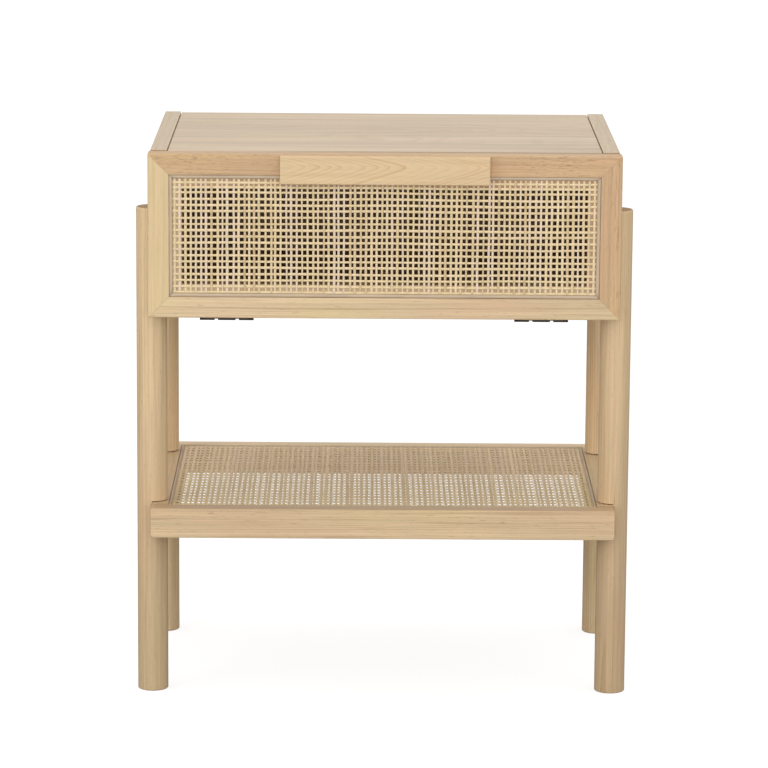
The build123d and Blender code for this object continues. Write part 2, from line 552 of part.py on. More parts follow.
# ================================================================ write the pieces
nodes = {
    "left_side_panel": side_panels["left"],
    "right_side_panel": side_panels["right"],
    "top_panel": top_panel,
    "bottom_panel": bottom_panel,
    "back_panel": back_panel,
    "back_panel_brads": group(brads),
    "box_dowels": group(box_dowels),
    "leg_front_left": legs[("front", "left")],
    "leg_front_right": legs[("front", "right")],
    "leg_rear_left": legs[("rear", "left")],
    "leg_rear_right": legs[("rear", "right")],
    "leg_bolts": group(box_bolts),
    "leg_inserts": group(inserts),
    "shelf_bolts": group(shelf_bolts),
    **shelf_rails,
    "shelf_dowels": group(shelf_dowels),
    "shelf_cane": shelf_cane,
    "shelf_splines": group(shelf_splines),
    **door_members,
    "door_mitre_dowels": group(mitre_dowels),
    "door_cane": door_cane,
    "door_splines": group(door_splines),
    "handle_bar": handle,
    "handle_screws": group(handle_screws),
    "hinge_box_leaf_left": box_leaves["left"],
    "hinge_box_leaf_right": box_leaves["right"],
    "hinge_door_leaf_left": door_leaves["left"],
    "hinge_door_leaf_right": door_leaves["right"],
    "hinge_pin_left": pins["left"],
    "hinge_pin_right": pins["right"],
    "hinge_box_screws": group(box_leaf_screws),
    "hinge_door_screws": group(door_leaf_screws),
    "catch_housing": catch_housing,
    "catch_pole_plates": group(pole_plates),
    "catch_magnet": catch_magnet,
    "catch_screws": group(catch_screws),
    "catch_strike": strike,
    "catch_strike_screw": strike_screw,
    "stay_plate": stay_plate,
    "stay_plate_screws": group(stay_screws),
    "stay_base_rivet": stay_base_rivet,
    "stay_arm": stay_arm,
    "stay_elbow_rivet": stay_elbow_rivet,
    "stay_link": stay_link,
    "stay_door_bracket": stay_bracket,
    "stay_bracket_screws": group(stay_bracket_screws),
    "stay_bracket_rivet": stay_bracket_rivet,
}

os.makedirs("parts", exist_ok=True)
for name, shape in nodes.items():
    solids = shape.solids()
    out = solids[0] if len(solids) == 1 else Compound(children=list(solids))
    export_step(out, f"parts/{name}.step")
print("hinge axis Y, Z:", HINGE_Y, HINGE_Z)
print("stay A, B, E:", A, B, E)
print(len(nodes), "nodes")
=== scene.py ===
import math

import bpy
import numpy as np
from mathutils import Matrix, Vector


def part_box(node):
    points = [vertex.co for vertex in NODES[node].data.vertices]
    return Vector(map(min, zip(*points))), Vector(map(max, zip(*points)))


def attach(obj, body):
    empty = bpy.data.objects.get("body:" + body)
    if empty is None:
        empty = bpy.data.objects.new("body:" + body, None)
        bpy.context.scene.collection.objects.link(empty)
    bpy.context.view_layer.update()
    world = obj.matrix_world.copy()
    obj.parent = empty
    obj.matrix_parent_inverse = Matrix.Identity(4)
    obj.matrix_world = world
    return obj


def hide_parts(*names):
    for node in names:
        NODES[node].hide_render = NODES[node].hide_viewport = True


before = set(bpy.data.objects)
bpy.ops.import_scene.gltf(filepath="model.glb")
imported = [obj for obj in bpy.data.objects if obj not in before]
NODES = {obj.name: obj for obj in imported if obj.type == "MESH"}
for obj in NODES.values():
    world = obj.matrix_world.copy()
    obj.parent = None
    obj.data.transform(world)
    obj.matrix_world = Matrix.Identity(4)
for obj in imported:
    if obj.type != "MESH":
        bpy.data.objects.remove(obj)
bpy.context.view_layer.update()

SCENE = bpy.context.scene


# ============================================================ node helpers
class Tree:
    """Short calls for building a material's node tree."""

    def __init__(self, nt):
        self.nt = nt

    def node(self, kind, **props):
        n = self.nt.nodes.new(kind)
        for k, v in props.items():
            setattr(n, k, v)
        return n

    def put(self, sock, value):
        if value is None:
            return
        if isinstance(value, bpy.types.NodeSocket):
            self.nt.links.new(value, sock)
        else:
            sock.default_value = value

    def math(self, op, a, b=None, c=None, clamp=False):
        n = self.node("ShaderNodeMath", operation=op, use_clamp=clamp)
        for s, v in zip(n.inputs, (a, b, c)):
            self.put(s, v)
        return n.outputs[0]

    def add(self, a, b):
        return self.math("ADD", a, b)

    def sub(self, a, b):
        return self.math("SUBTRACT", a, b)

    def mul(self, a, b):
        return self.math("MULTIPLY", a, b)

    def xyz(self, x, y, z):
        n = self.node("ShaderNodeCombineXYZ")
        for s, v in zip(n.inputs, (x, y, z)):
            self.put(s, v)
        return n.outputs[0]

    def split(self, v):
        n = self.node("ShaderNodeSeparateXYZ")
        self.put(n.inputs[0], v)
        return n.outputs

    def noise(self, vec, scale=1.0, detail=2.0, rough=0.5, dist=0.0):
        n = self.node("ShaderNodeTexNoise", noise_dimensions="3D")
        self.put(n.inputs["Vector"], vec)
        n.inputs["Scale"].default_value = scale
        n.inputs["Detail"].default_value = detail
        n.inputs["Roughness"].default_value = rough
        n.inputs["Distortion"].default_value = dist
        return n.outputs["Fac"]

    def white(self, value):
        n = self.node("ShaderNodeTexWhiteNoise", noise_dimensions="1D")
        self.put(n.inputs["W"], value)
        return n.outputs["Value"]

    def ramp(self, fac, stops, interp="LINEAR"):
        n = self.node("ShaderNodeValToRGB")
        n.color_ramp.interpolation = interp
        els = n.color_ramp.elements
        while len(els) < len(stops):
            els.new(0.5)
        for e, (p, c) in zip(els, stops):
            e.position = p
            if isinstance(c, (int, float)):
                c = (c, c, c)
            e.color = (*c, 1.0)
        self.put(n.inputs[0], fac)
        return n.outputs["Color"]

    def range(self, v, a, b, c=0.0, d=1.0, kind="SMOOTHSTEP"):
        n = self.node("ShaderNodeMapRange", interpolation_type=kind)
        for s, x in zip(n.inputs, (v, a, b, c, d)):
            self.put(s, x)
        return n.outputs[0]

    def mix(self, fac, a, b, mode="MIX"):
        n = self.node("ShaderNodeMix", data_type="RGBA", blend_type=mode)
        self.put(n.inputs[0], fac)
        for s, v in ((n.inputs[6], a), (n.inputs[7], b)):
            self.put(s, v if isinstance(v, bpy.types.NodeSocket) else (*v, 1.0))
        return n.outputs[2]

    def attr(self, name):
        return self.node("ShaderNodeAttribute", attribute_name=name)


def new_material(name):
    m = bpy.data.materials.new(name)
    m.use_nodes = True
    m.node_tree.nodes.clear()
    t = Tree(m.node_tree)
    out = t.node("ShaderNodeOutputMaterial")
    bsdf = t.node("ShaderNodeBsdfPrincipled")
    m.node_tree.links.new(bsdf.outputs[0], out.inputs[0])
    return m, t, bsdf


def bump(t, height, strength, distance, bsdf):
    n = t.node("ShaderNodeBump")
    n.inputs["Strength"].default_value = strength
    n.inputs["Distance"].default_value = distance
    t.put(n.inputs["Height"], height)
    t.nt.links.new(n.outputs[0], bsdf.inputs["Normal"])


# ============================================================ wood
def wood(
    name, grain, pith, light, dark, seed, spacing=0.0024, contrast=0.6, tilt=(0.0, 0.0),
    wobble=0.004, waves=0.0, flecks=0.0, warm=0.35, rough=0.5, knots=(), streak=1.0, lines=1.0, gloss=0.0, broad=0.0,
    taper=0.0, skew=0.0, painted_shade_bands=(), shaded_recess=None, tone_and_shade_ramp=None,
):
    """Planed softwood. grain is the axis the fibres run along; pith is where the heart of the tree
    passes, in the two other coordinates (XYZ order), in metres; tilt leans it per metre of length."""
    m, t, bsdf = new_material(name)
    tc = t.node("ShaderNodeTexCoord")
    co = tc.outputs["Object"]
    x, y, z = t.split(co)
    nx, ny, nz = t.split(tc.outputs["Normal"])
    u, v, w, ng = {"X": (y, z, x, nx), "Y": (x, z, y, ny), "Z": (x, y, z, nz)}[grain]
    sx = seed * 3.17
    # slow bends of the grain
    slow = t.xyz(t.mul(u, 9.0), t.add(t.mul(v, 9.0), sx), t.add(t.mul(w, 2.6), seed * 1.7))
    slow2 = t.xyz(t.add(t.mul(u, 9.0), 31.0 + sx), t.mul(v, 9.0), t.add(t.mul(w, 2.6), 7.7))
    wu = t.mul(t.sub(t.noise(slow, 1.0, 2.0), 0.5), wobble * 2.2)
    wv = t.mul(t.sub(t.noise(slow2, 1.0, 2.0), 0.5), wobble * 2.2)
    if waves:
        # shorter ripples, as beside knots
        rip = t.xyz(t.mul(u, 42.0), t.add(t.mul(v, 42.0), sx), t.add(t.mul(w, 26.0), seed))
        rip2 = t.xyz(t.mul(u, 42.0), t.add(t.mul(v, 42.0), 19.0 + sx), t.add(t.mul(w, 26.0), seed))
        wu = t.add(wu, t.mul(t.sub(t.noise(rip, 1.0, 2.0), 0.5), waves * 2.0))
        wv = t.add(wv, t.mul(t.sub(t.noise(rip2, 1.0, 2.0), 0.5), waves * 2.0))
    fine = t.xyz(t.mul(u, 160.0), t.add(t.mul(v, 160.0), sx), t.mul(w, 12.0))
    wf = t.mul(t.sub(t.noise(fine, 1.0, 3.0, 0.6), 0.5), spacing * 0.32)
    pu = t.add(t.sub(u, pith[0]), t.mul(w, tilt[0]))
    pv = t.add(t.sub(v, pith[1]), t.mul(w, tilt[1]))
    pu, pv = t.add(pu, t.add(wu, wf)), t.add(pv, t.add(wv, wf))
    for ku, kv, kw, kr in knots:
        # grain swells round a knot
        du = t.math("DIVIDE", t.sub(u, ku), kr * 2.0)
        dv = t.math("DIVIDE", t.sub(v, kv), kr * 2.0)
        dw = t.math("DIVIDE", t.sub(w, kw), kr * 5.5)
        d2 = t.add(t.add(t.mul(du, du), t.mul(dv, dv)), t.mul(dw, dw))
        push = t.mul(t.math("EXPONENT", t.mul(d2, -1.0)), kr * 1.2)
        pu = t.add(pu, push)
        pv = t.add(pv, push)
    r = t.math("SQRT", t.add(t.mul(pu, pu), t.mul(pv, pv)))
    if taper:
        r = t.add(t.add(r, t.mul(w, taper)), t.mul(pv, skew))  # the trunk narrows: rings meet the face as arches
    q = t.math("DIVIDE", r, spacing)
    q = t.add(q, t.mul(t.noise(t.xyz(q, seed, 0.0), 0.22, 1.0), 2.6))  # uneven years
    ring = t.math("FLOOR", q)
    f = t.math("FRACT", q)
    strength = t.range(t.white(t.add(ring, seed)), 0.0, 1.0, 0.18, 1.0, "LINEAR")
    late = t.ramp(f, [(0.0, 0.12), (0.09, 0.0), (0.42, 0.08), (0.66, 0.36), (0.84, 0.92), (0.92, 1.0), (0.97, 0.62), (1.0, 0.12)])
    late = t.mul(late, strength)
    # fibres, fine dark lines and slow changes of colour
    fib = t.noise(t.xyz(t.mul(u, 1100.0), t.mul(v, 1100.0), t.mul(w, 18.0)), 1.0, 3.0, 0.62)
    band = t.noise(t.xyz(t.mul(u, 300.0), t.mul(v, 300.0), t.mul(w, 3.6)), 1.0, 3.0, 0.6)
    hair = t.noise(t.xyz(t.mul(u, 480.0), t.add(t.mul(v, 480.0), sx), t.mul(w, 8.0)), 1.0, 2.0, 0.55)
    hair = t.range(hair, 0.56, 0.70)
    pore = t.noise(t.xyz(t.mul(u, 1700.0), t.add(t.mul(v, 1700.0), sx), t.mul(w, 95.0)), 1.0, 1.0, 0.5)
    pore = t.range(pore, 0.66, 0.74)
    tone = t.noise(t.xyz(t.mul(u, 26.0), t.add(t.mul(v, 26.0), sx), t.mul(w, 5.0)), 1.0, 2.0, 0.5)
    col = t.mix(t.math("MULTIPLY", late, contrast, clamp=True), light, dark)
    pink = (light[0] * 1.00, light[1] * 0.90, light[2] * 0.86)
    yellow = (light[0] * 0.98, light[1] * 1.00, light[2] * 0.88)
    col = t.mix(t.math("MULTIPLY", t.range(tone, 0.46, 0.72), warm, clamp=True), col, pink)
    col = t.mix(t.math("MULTIPLY", t.range(tone, 0.54, 0.32), warm, clamp=True), col, yellow)
    shade = t.add(1.0, t.mul(t.sub(fib, 0.5), 0.34 * streak))
    shade = t.add(shade, t.mul(t.sub(band, 0.5), 0.46 * streak))
    if broad:
        wide = t.noise(t.xyz(t.mul(u, 75.0), t.add(t.mul(v, 75.0), sx), t.mul(w, 2.4)), 1.0, 2.0, 0.55)
        shade = t.add(shade, t.mul(t.sub(wide, 0.5), 0.30 * broad))
    col = t.mix(1.0, col, t.xyz(shade, shade, shade), "MULTIPLY")
    col = t.mix(t.mul(hair, 0.30 * lines), col, [c * k for c, k in zip(dark, (0.86, 0.80, 0.72))])
    col = t.mix(t.mul(pore, 0.35 * lines), col, [c * k for c, k in zip(dark, (0.62, 0.52, 0.42))])
    if flecks > 0:
        fl = t.noise(t.xyz(t.add(t.mul(u, 1150.0), t.mul(wu, 1400.0)), t.add(t.mul(v, 1150.0), sx), t.mul(w, 105.0)), 1.0, 1.0, 0.5)
        fl = t.range(fl, 0.585, 0.68)
        patch = t.range(t.noise(t.xyz(t.mul(u, 26.0), t.mul(v, 26.0), t.add(t.mul(w, 13.0), sx)), 1.0, 1.0), 0.42, 0.60)
        fl = t.mul(fl, t.mul(flecks, t.add(0.22, t.mul(patch, 0.78))))
        col = t.mix(t.math("MULTIPLY", fl, 1.0, clamp=True), col, (dark[0] * 0.55, dark[1] * 0.44, dark[2] * 0.34))
    for ku, kv, kw, kr in knots:
        du, dv = t.math("DIVIDE", t.sub(u, ku), kr), t.math("DIVIDE", t.sub(v, kv), kr)
        dw = t.math("DIVIDE", t.sub(w, kw), kr * 1.7)
        d = t.math("SQRT", t.add(t.add(t.mul(du, du), t.mul(dv, dv)), t.mul(dw, dw)))
        d = t.add(d, t.mul(t.sub(t.noise(co, 520.0, 2.0), 0.5), 0.5))
        core = t.range(d, 0.55, 1.15, 1.0, 0.0)
        col = t.mix(t.mul(core, 0.7), col, (dark[0] * 0.52, dark[1] * 0.38, dark[2] * 0.26))
    for axis, q0, q1, s0, s1, k in painted_shade_bands:
        # painted shade: a dark band along one edge of the board where shade falls, full at q0, gone at q1
        lo, hi, va, vb = (q0, q1, 1.0, 0.0) if q0 < q1 else (q1, q0, 0.0, 1.0)
        shade_band_mask = t.mul(t.range({"u": u, "v": v}[axis], lo, hi, va, vb), t.range(w, s0, s1))
        shade_band_mask = t.math("MULTIPLY", shade_band_mask, t.mul(t.add(0.55, t.mul(band, 0.9)), k), clamp=True)
        col = t.mix(shade_band_mask, col, [c * f for c, f in zip(dark, (0.72, 0.66, 0.60))])
    if shaded_recess:
        # painted shade: the ledge and groove behind the webbing are darkened where the webbing and rails shade them
        (x0, x1), (y0, y1), (z0, z1) = shaded_recess
        inside = None
        for q, lo, hi in ((x, x0, x1), (y, y0, y1), (z, z0, z1)):
            g = t.mul(t.range(q, lo, lo + 0.0003), t.range(q, hi - 0.0003, hi, 1.0, 0.0))
            inside = g if inside is None else t.mul(inside, g)
        recess_shade = t.add(0.22, t.mul(t.noise(co, 260.0, 2.0, 0.6), 0.45))
        col = t.mix(t.mul(inside, recess_shade), col, [c * f for c, f in zip(dark, (0.60, 0.52, 0.44))])
    if tone_and_shade_ramp:                                        # the colour is scaled along the board's length; on the front legs this is painted shade, darker towards the bottom
        k = t.range(w, *tone_and_shade_ramp)
        col = t.mix(1.0, col, t.xyz(k, k, k), "MULTIPLY")
    # end grain is darker and browner
    end = t.range(t.math("ABSOLUTE", ng), 0.72, 0.92)
    endc = t.mix(t.mul(late, 0.8), [c * k for c, k in zip(dark, (0.86, 0.82, 0.78))], [c * k for c, k in zip(dark, (0.55, 0.48, 0.42))])
    col = t.mix(t.mul(end, 0.85), col, t.mix(1.0, endc, t.xyz(shade, shade, shade), "MULTIPLY"))
    t.put(bsdf.inputs["Base Color"], col)
    height = t.add(t.mul(late, 0.55), t.add(t.mul(fib, 0.75), t.mul(pore, -0.8)))
    bump(t, height, 0.30, 0.00018, bsdf)
    rr = t.add(rough, t.mul(t.sub(band, 0.5), 0.16))
    t.put(bsdf.inputs["Roughness"], t.add(t.sub(rr, t.mul(late, 0.06)), t.mul(end, 0.18)))
    bsdf.inputs["Specular IOR Level"].default_value = 0.45
    bsdf.inputs["Coat Weight"].default_value = 0.10 + gloss
    bsdf.inputs["Coat Roughness"].default_value = 0.40
    return m


# ============================================================ cane, reed, metals, plastic
def cane_material(name, seed, pale, deep, pink, tone_and_shade_ramp=None):
    m, t, bsdf = new_material(name)
    a = t.attr("strand")
    sx, sy, sz = t.split(a.outputs["Vector"])       # across (m), along (m), strand number
    tone = t.white(t.add(sz, seed))
    tone2 = t.white(t.add(t.mul(sz, 1.37), seed + 11.0))
    col = t.ramp(tone, [(0.0, deep), (0.30, [0.5 * (p + d) for p, d in zip(pale, deep)]), (1.0, pale)])
    weft = t.range(sz, 400.0, 401.0)                # the cross strands are yellower
    rosy = t.range(tone2, 0.50, 0.85, 0.0, 0.85)
    col = t.mix(t.mul(rosy, t.sub(1.0, t.mul(weft, 0.7))), col, pink)
    col = t.mix(t.mul(weft, 0.55), col, [p * k for p, k in zip(pale, (0.96, 0.97, 0.86))])
    fib = t.noise(t.xyz(t.mul(sx, 3800.0), t.mul(sy, 24.0), sz), 1.0, 2.0, 0.6)
    blot = t.noise(t.xyz(t.mul(sx, 60.0), t.mul(sy, 34.0), t.mul(sz, 3.3)), 1.0, 2.0, 0.5)
    shade = t.add(1.0, t.mul(t.sub(fib, 0.5), 0.34))
    shade = t.add(shade, t.mul(t.sub(blot, 0.5), 0.40))
    if tone_and_shade_ramp:                                        # painted shade: the shelf's cane is darker towards the front, under the box, and lighter towards the back
        y = t.split(t.node("ShaderNodeTexCoord").outputs["Object"])[1]
        shade = t.mul(shade, t.range(y, *tone_and_shade_ramp))
    col = t.mix(1.0, col, t.xyz(shade, shade, t.mul(shade, shade)), "MULTIPLY")
    mark = t.noise(t.xyz(t.mul(sx, 400.0), t.mul(sy, 160.0), t.mul(sz, 5.1)), 1.0, 2.0, 0.5)
    col = t.mix(t.mul(t.range(mark, 0.70, 0.80), 0.55), col, (0.36, 0.22, 0.10))
    t.put(bsdf.inputs["Base Color"], col)
    bump(t, fib, 0.35, 0.00008, bsdf)
    t.put(bsdf.inputs["Roughness"], t.range(blot, 0.2, 0.8, 0.34, 0.52))
    bsdf.inputs["Specular IOR Level"].default_value = 0.45
    return m


def reed_material(name, base, seed):
    m, t, bsdf = new_material(name)
    a = t.attr("strand")
    sx, sy, sz = t.split(a.outputs["Vector"])
    fib = t.noise(t.xyz(t.mul(sx, 2600.0), t.mul(sy, 16.0), t.add(sz, seed)), 1.0, 3.0, 0.65)
    blot = t.noise(t.xyz(t.mul(sx, 90.0), t.mul(sy, 28.0), t.add(sz, seed)), 1.0, 2.0, 0.5)
    shade = t.add(t.add(1.0, t.mul(t.sub(fib, 0.5), 0.55)), t.mul(t.sub(blot, 0.5), 0.35))
    col = t.mix(1.0, base, t.xyz(shade, shade, shade), "MULTIPLY")
    t.put(bsdf.inputs["Base Color"], col)
    bump(t, fib, 0.5, 0.00015, bsdf)
    t.put(bsdf.inputs["Roughness"], t.range(fib, 0.2, 0.8, 0.5, 0.68))
    return m


def metal_material(name, base, rough, seed, metallic=1.0, wear=None, scratch=0.5, axis="X"):
    m, t, bsdf = new_material(name)
    co = t.node("ShaderNodeTexCoord").outputs["Object"]
    x, y, z = t.split(co)
    k = {"X": (60.0, 2600.0, 2600.0), "Y": (2600.0, 60.0, 2600.0), "Z": (2600.0, 2600.0, 60.0)}[axis]
    brush = t.noise(t.xyz(t.mul(x, k[0]), t.mul(y, k[1]), t.add(t.mul(z, k[2]), seed)), 1.0, 2.0, 0.6)
    cloud = t.noise(co, 210.0, 3.0, 0.55)
    shade = t.add(t.add(1.0, t.mul(t.sub(brush, 0.5), 0.25 * scratch)), t.mul(t.sub(cloud, 0.5), 0.30))
    col = t.mix(1.0, base, t.xyz(shade, shade, shade), "MULTIPLY")
    if wear:
        col = t.mix(t.range(t.noise(co, 900.0, 4.0, 0.7), 0.60, 0.72, 0.0, 0.6), col, wear)
    t.put(bsdf.inputs["Base Color"], col)
    bsdf.inputs["Metallic"].default_value = metallic
    t.put(bsdf.inputs["Roughness"], t.add(rough, t.add(t.mul(t.sub(brush, 0.5), 0.25 * scratch), t.mul(t.sub(cloud, 0.5), 0.22))))
    bump(t, t.add(brush, t.mul(cloud, 0.6)), 0.25, 0.00005, bsdf)
    return m


def plastic_material(name, base, rough, seed):
    m, t, bsdf = new_material(name)
    co = t.node("ShaderNodeTexCoord").outputs["Object"]
    grain = t.noise(co, 2400.0, 2.0, 0.6)
    cloud = t.noise(co, 60.0 + seed, 2.0, 0.5)
    shade = t.add(1.0, t.add(t.mul(t.sub(grain, 0.5), 0.12), t.mul(t.sub(cloud, 0.5), 0.18)))
    t.put(bsdf.inputs["Base Color"], t.mix(1.0, base, t.xyz(shade, shade, shade), "MULTIPLY"))
    t.put(bsdf.inputs["Roughness"], t.range(grain, 0.2, 0.8, rough - 0.06, rough + 0.08))
    bump(t, grain, 0.35, 0.00006, bsdf)
    return m


# ============================================================ meshes
def mesh_object(name, verts, faces, strand=None, smooth=True):
    me = bpy.data.meshes.new(name)
    me.vertices.add(len(verts))
    me.vertices.foreach_set("co", np.asarray(verts, np.float32).ravel())
    faces = np.asarray(faces, np.int32)
    me.loops.add(faces.size)
    me.loops.foreach_set("vertex_index", faces.ravel())
    me.polygons.add(len(faces))
    me.polygons.foreach_set("loop_start", np.arange(0, faces.size, faces.shape[1], dtype=np.int32))
    me.polygons.foreach_set("loop_total", np.full(len(faces), faces.shape[1], np.int32))
    me.update(calc_edges=True)
    me.validate()
    if smooth:
        me.polygons.foreach_set("use_smooth", np.ones(len(me.polygons), bool))
    if strand is not None:
        at = me.attributes.new("strand", "FLOAT_VECTOR", "POINT")
        at.data.foreach_set("vector", np.asarray(strand, np.float32).ravel())
    ob = bpy.data.objects.new(name, me)
    SCENE.collection.objects.link(ob)
    return ob


# across and height of a split-cane strand: a domed skin side and a flatter back
STRAND = np.array([(-0.5, 0.02), (-0.36, 0.36), (0.0, 0.50), (0.36, 0.36), (0.5, 0.02), (0.38, -0.38), (0.0, -0.44), (-0.38, -0.38)])


def ribbon(points, side, up, width, thick, ident, profile=STRAND):
    """Vertices, faces and strand coordinates of one strand along points (N x 3)."""
    p = np.asarray(points, float)
    n = len(p)
    tan = np.gradient(p, axis=0)
    tan /= np.linalg.norm(tan, axis=1)[:, None]
    ups = up - (tan @ up)[:, None] * tan
    ups /= np.linalg.norm(ups, axis=1)[:, None]
    sides = np.cross(tan, ups)
    sides *= np.sign((sides @ side))[:, None]
    k = len(profile)
    wv = np.broadcast_to(np.asarray(width, float).reshape(-1, 1, 1), (n, 1, 1))
    v = p[:, None] + sides[:, None] * profile[None, :, :1] * wv + ups[:, None] * profile[None, :, 1:] * thick
    along = np.concatenate([[0], np.cumsum(np.linalg.norm(np.diff(p, axis=0), axis=1))])
    st = np.zeros((n, k, 3))
    st[..., 0] = profile[None, :, 0] * wv[..., 0]
    st[..., 1] = along[:, None]
    st[..., 2] = ident
    i = np.arange(n - 1)[:, None] * k
    j = np.arange(k)[None]
    a, b = i + j, i + (j + 1) % k
    f = np.stack([a, b, b + k, a + k], -1).reshape(-1, 4)
    e = (n - 1) * k
    if k == 8:
        caps = [[3, 2, 1, 0], [7, 4, 3, 0], [7, 6, 5, 4], [e, e + 1, e + 2, e + 3], [e, e + 3, e + 4, e + 7], [e + 4, e + 5, e + 6, e + 7]]
    else:
        caps = [[3, 2, 1, 0], [e, e + 1, e + 2, e + 3]]
    f = np.concatenate([f, caps])
    # outward faces: flip when the ring runs the other way round
    if np.dot(np.cross(sides[0], ups[0]), tan[0]) > 0:
        f = f[:, ::-1]
    return v.reshape(-1, 3), f, st.reshape(-1, 3)


def smooth_noise(rng, n, step):
    """A smooth random line of n samples with a new value every step samples, about -1 to 1."""
    k = max(4, int(n / step) + 4)
    c = rng.normal(0, 0.55, k)
    t = np.linspace(0, k - 3.001, n)
    i = t.astype(int)
    f = t - i
    f = f * f * (3 - 2 * f)
    return c[i] * (1 - f) + c[i + 1] * f


def weave(name, origin, ex, ey, en, half_x, half_y, xs, ys, warp_w, weft_w, seed, tuck, steps=4, jitter=0.00018, lift=(0.00014, 0.00020), thick=0.00050, wander=0.00075, vary=0.06):
    """Open plain weave of split cane: warp strands at xs run along ey, weft strands at ys along ex, over
    and under. The panel is 2 half_x by 2 half_y about origin, whose level is the ledge that it lies on;
    en points out. Each strand's ends turn down into the groove by tuck."""
    rng = np.random.default_rng(seed)
    amp_warp, amp_weft = lift
    level = 0.00002 + amp_weft + thick * 0.46
    nx, ny = len(xs), len(ys)
    ww = warp_w * (1 + np.clip(rng.normal(0, 0.13, nx), -0.26, 0.26))
    hw = weft_w * (1 + np.clip(rng.normal(0, vary, ny), -2.2 * vary, 2.2 * vary))
    jx = np.clip(rng.normal(0, 0.00045, nx), -0.0009, 0.0009)
    jx[0] = jx[-1] = 0
    xs = xs + jx
    jy = np.clip(rng.normal(0, jitter, ny), -0.0005, 0.0005)
    jy[0] = jy[-1] = 0
    ys = ys + jy
    # where each weft crosses each warp: the rows wave a little, and neighbours wave together
    wave = np.zeros((ny, nx))
    common = smooth_noise(rng, nx, 14)
    for j in range(ny):
        inside = min(1.0, min(j, ny - 1 - j) / 2.0)
        wave[j] = inside * (wander * common + 0.00028 * smooth_noise(rng, nx, 10))
        if j % 3 == 0:
            common = 0.6 * common + 0.55 * smooth_noise(rng, nx, 15)
    drift = np.zeros((nx, ny))
    lean = smooth_noise(rng, nx, 6) * 0.0004
    for i in range(nx):
        inside = min(1.0, min(i, nx - 1 - i) / 2.0)
        drift[i] = inside * (0.00026 * smooth_noise(rng, ny, 5) + lean[i] * np.linspace(-1, 1, ny))
    cx = xs[None, :] + drift.T          # ny x nx
    cy = ys[:, None] + wave
    lim_x = half_x - warp_w * 0.5 - 0.0001
    lim_y = half_y - weft_w * 0.5 - 0.0001
    cx = np.clip(cx, -lim_x, lim_x)
    cy = np.clip(cy, -lim_y, lim_y)
    sign = np.where((np.arange(nx)[None] + np.arange(ny)[:, None]) % 2 == 0, 1.0, -1.0)
    V, F, S = [], [], []
    base = 0

    def strand(a, b, h, along_x, width, ident, half):
        """a: positions along the strand, b: across, h: heights at the crossings."""
        nonlocal base
        pa, pb, ph = [], [], []
        for k in range(len(a) - 1):
            for s in range(steps):
                f = s / steps
                c = math.cos(math.pi * f)
                c = math.copysign(abs(c) ** 0.75, c)
                g = f * f * (3 - 2 * f)
                pa.append(a[k] + (a[k + 1] - a[k]) * f)
                pb.append(b[k] + (b[k + 1] - b[k]) * g)
                ph.append((h[k] + h[k + 1]) / 2 + (h[k] - h[k + 1]) / 2 * c)
        pa.append(a[-1]); pb.append(b[-1]); ph.append(h[-1])
        # the ends run out over the ledge's edge and down into the groove
        lead = [(0.00045, -0.2), (0.0, -0.55), (-0.0003, -1.2)]
        first_a = [-(half - o) for o, _ in lead][::-1]
        dips = [d for _, d in lead][::-1]
        down = {-0.2: -0.00012, -0.55: -0.0009, -1.2: -tuck}
        pre_a = [x for x in first_a if x < pa[0] - 0.0004]
        pre_h = [down[d] for x, d in zip(first_a, dips) if x < pa[0] - 0.0004]
        post_a = [half - o for o, _ in lead if half - o > pa[-1] + 0.0004]
        post_h = [down[d] for o, d in lead if half - o > pa[-1] + 0.0004]
        pa = pre_a + pa + post_a
        ph = pre_h + ph + post_h
        pb = [pb[0]] * len(pre_a) + pb + [pb[-1]] * len(post_a)
        pa, pb, ph = np.array(pa), np.array(pb), np.array(ph)
        dx, dy = (pa, pb) if along_x else (pb, pa)
        p = origin + dx[:, None] * ex + dy[:, None] * ey + (level + ph)[:, None] * en
        w = width * (1 + 0.05 * smooth_noise(rng, len(pa), 16))
        v, f, s = ribbon(p, ey if along_x else ex, en, w, thick, ident)
        V.append(v); F.append(f + base); S.append(s)
        base += len(v)

    for i in range(nx):
        strand(cy[:, i], cx[:, i], sign[:, i] * amp_warp, False, ww[i], 3.0 + i, half_y)
    for j in range(ny):
        strand(cx[j], cy[j], -sign[j] * amp_weft, True, hw[j], 503.0 + j, half_x)
    return mesh_object(name, np.concatenate(V), np.concatenate(F), np.concatenate(S))


REED = np.array([(-0.5, -0.9), (-0.5, -0.12), (-0.34, 0.10), (-0.12, 0.19), (0.12, 0.19), (0.34, 0.10), (0.5, -0.12), (0.5, -0.9)])


